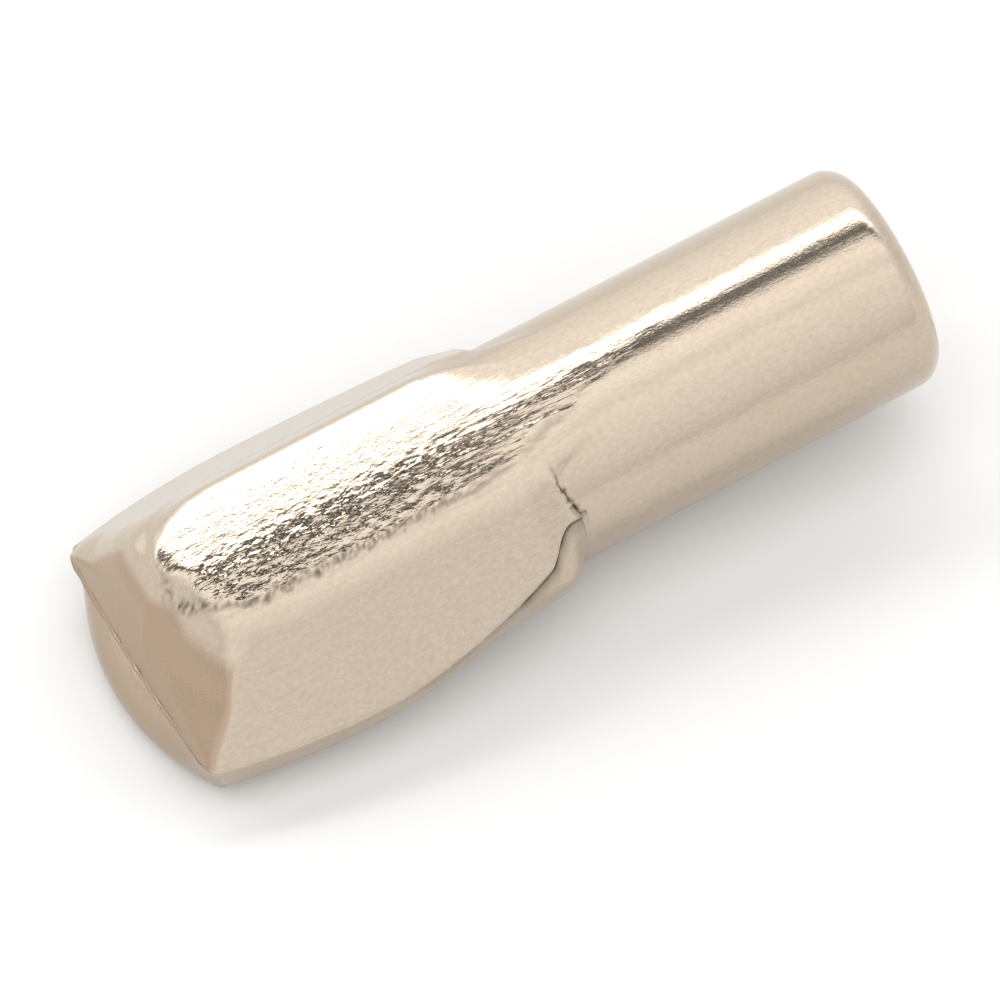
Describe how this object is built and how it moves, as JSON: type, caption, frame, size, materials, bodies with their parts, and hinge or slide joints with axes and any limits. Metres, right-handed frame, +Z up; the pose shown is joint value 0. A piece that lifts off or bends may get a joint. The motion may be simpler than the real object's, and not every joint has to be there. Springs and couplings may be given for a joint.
{
  "type": "shelf support pin",
  "caption": "Round plug-in pin whose front half is pressed into a head with a flat underside and a ridged keel, to carry a shelf from a bored side panel.",
  "frame": {"origin": "where the shoulder crosses the shank's axis", "axes": "X level and along the pin, towards the shank's end, which rises 5.7 degrees as it lies on its tip and heel; +Z up, the side of the keel; Y across, square to the plane that both halves mirror about"},
  "size_m": [0.0236, 0.0092, 0.0074],
  "materials": {
    "nickel_plate": "warm bright nickel plating over pressed steel wire, smooth on the shank and the ridges, crumpled on the crest"
  },
  "bodies": {
    "root": {"shelf_pin": "nickel_plate"}
  },
  "joints": []
}
